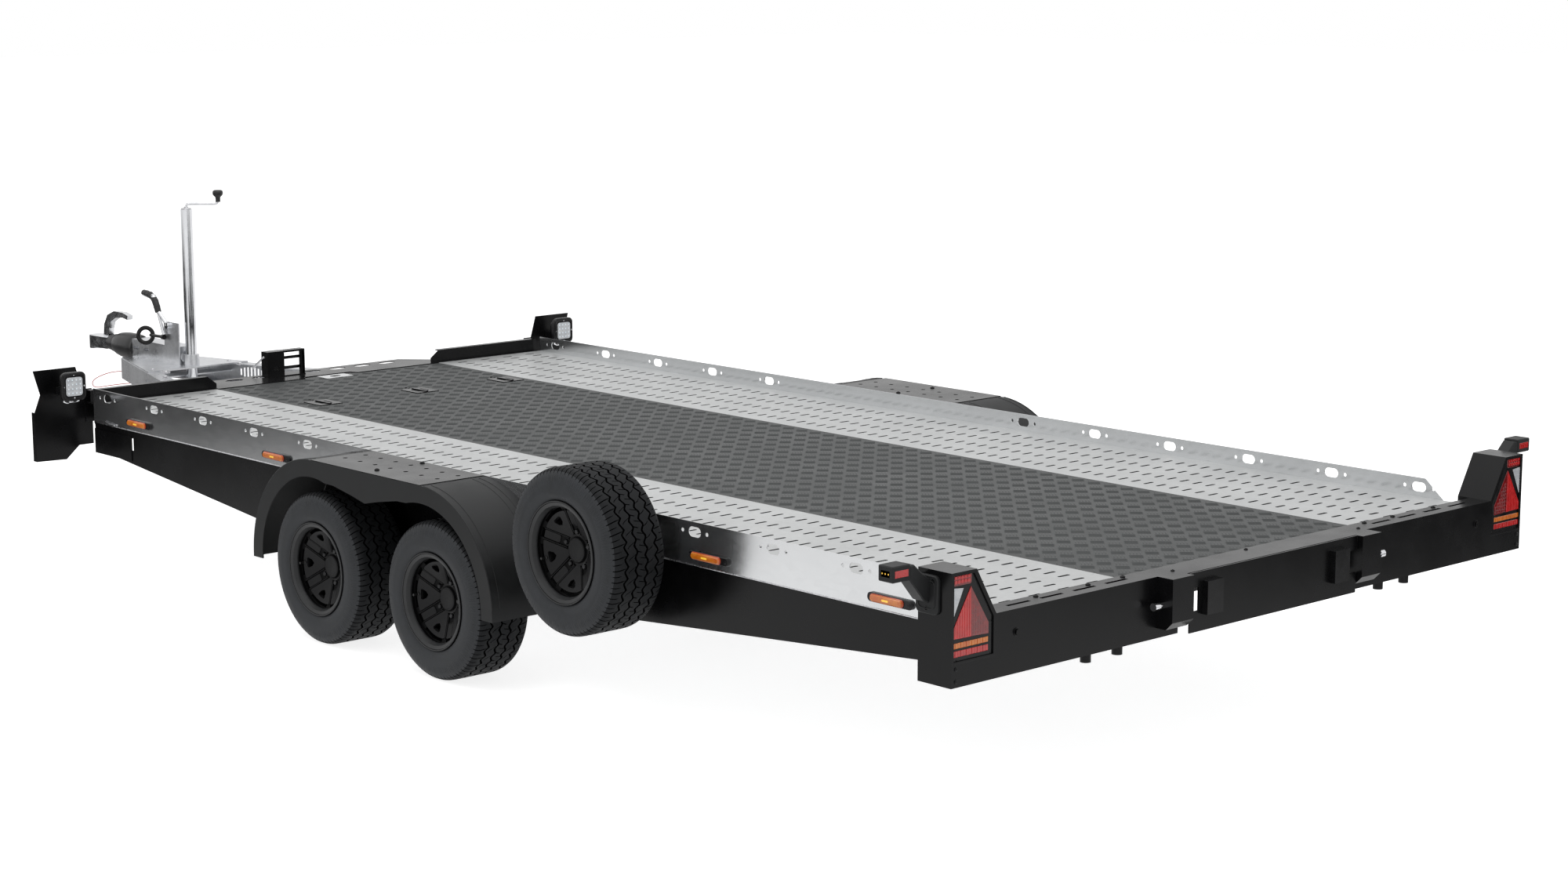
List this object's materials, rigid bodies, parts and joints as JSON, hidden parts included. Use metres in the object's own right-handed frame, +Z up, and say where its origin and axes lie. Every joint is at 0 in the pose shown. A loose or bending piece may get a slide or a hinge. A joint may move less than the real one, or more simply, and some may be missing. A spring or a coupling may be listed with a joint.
{
  "type": "car hauler trailer",
  "caption": "Flat car hauler trailer with twin axles, perforated runways, side rails, lamp posts, stowed ramps, a V drawbar with ball coupling and a jockey wheel.",
  "frame": {"origin": "on the ground, under the middle of the trailer's length and width", "axes": "+Y forward to the coupling, +X to the trailer's right, +Z up"},
  "size_m": [2.808, 6.6019, 1.22],
  "materials": {
    "aluminium": "mill finish",
    "amberlens": "clear moulded lens",
    "blackpaint": "semi-gloss powder coat",
    "blackplastic": "moulded",
    "casting": "zinc plated casting",
    "chromed": "bright",
    "redcable": "plastic sheathed cable",
    "redlens": "clear moulded lens",
    "rimblack": "matt black rim",
    "rubber": "black rubber",
    "tread": "dark tread plate",
    "tyre": "road tyre",
    "zinc": "galvanised"
  },
  "bodies": {
    "trailer": {"axle_front": "zinc", "axle_rear": "zinc", "bellows": "rubber", "breakaway_cable": "redcable", "coupling_head": "casting", "cross_members": "zinc", "deck_centre": "tread", "deck_fittings": "blackpaint", "deflector_left": "blackpaint", "deflector_right": "blackpaint", "drawbar_gussets": "zinc", "drawbar_left": "zinc", "drawbar_right": "zinc", "front_beam": "blackpaint", "handbrake_lever": "chromed", "jack_crank": "chromed", "jack_tube": "zinc", "latch_bolts": "chromed", "marker_arms": "rubber", "mudguard_left": "blackplastic", "mudguard_right": "blackplastic", "overrun_housing": "zinc", "plug_holder": "blackplastic", "rail_left": "zinc", "rail_right": "zinc", "ramps": "aluminium", "rear_beam": "blackpaint", "runway_left": "zinc", "runway_right": "zinc", "side_markers": "amberlens", "sill_left": "blackpaint", "sill_right": "blackpaint", "spare_carrier": "zinc", "spare_rim": "rimblack", "spare_tyre": "tyre", "step_plates": "blackpaint", "tail_lamps": "redlens", "winch_guide": "blackpaint", "work_lamps": "blackplastic"},
    "jack_leg": {"jack_leg": "zinc"},
    "jack_fork": {"jack_fork": "zinc"},
    "jack_wheel": {"jack_wheel": "rubber"},
    "ramp_flap": {"ramp_flap": "blackpaint", "plate_lamps": "blackplastic"},
    "wheel_rear_right": {"tyre_rear_right": "tyre", "rim_rear_right": "rimblack"},
    "wheel_rear_left": {"tyre_rear_left": "tyre", "rim_rear_left": "rimblack"},
    "wheel_front_right": {"tyre_front_right": "tyre", "rim_front_right": "rimblack"},
    "wheel_front_left": {"tyre_front_left": "tyre", "rim_front_left": "rimblack"}
  },
  "joints": [
    {"name": "wheel_rear_right_spin", "type": "hinge", "parent": "trailer", "child": "wheel_rear_right", "pos_m": [1.203, -1.066, 0.249], "axis": [1, 0, 0], "continuous": true},
    {"name": "wheel_rear_left_spin", "type": "hinge", "parent": "trailer", "child": "wheel_rear_left", "pos_m": [-1.203, -1.066, 0.249], "axis": [1, 0, 0], "continuous": true},
    {"name": "wheel_front_right_spin", "type": "hinge", "parent": "trailer", "child": "wheel_front_right", "pos_m": [1.203, -0.431, 0.249], "axis": [1, 0, 0], "continuous": true},
    {"name": "wheel_front_left_spin", "type": "hinge", "parent": "trailer", "child": "wheel_front_left", "pos_m": [-1.203, -0.431, 0.249], "axis": [1, 0, 0], "continuous": true},
    {"name": "jack_slide", "type": "slide", "parent": "trailer", "child": "jack_leg", "axis": [0, 0, 1], "range_m": [0, 0.15]},
    {"name": "jack_swivel", "type": "hinge", "parent": "jack_leg", "child": "jack_fork", "pos_m": [0, 2.475, 0.25], "axis": [0, 0, 1], "continuous": true},
    {"name": "jack_wheel_spin", "type": "hinge", "parent": "jack_fork", "child": "jack_wheel", "pos_m": [0, 2.43, 0.1], "axis": [1, 0, 0], "continuous": true},
    {"name": "ramp_flap_hinge", "type": "hinge", "parent": "trailer", "child": "ramp_flap", "pos_m": [0, -3.267, 0.43], "axis": [1, 0, 0], "range_deg": [0, 100]}
  ]
}
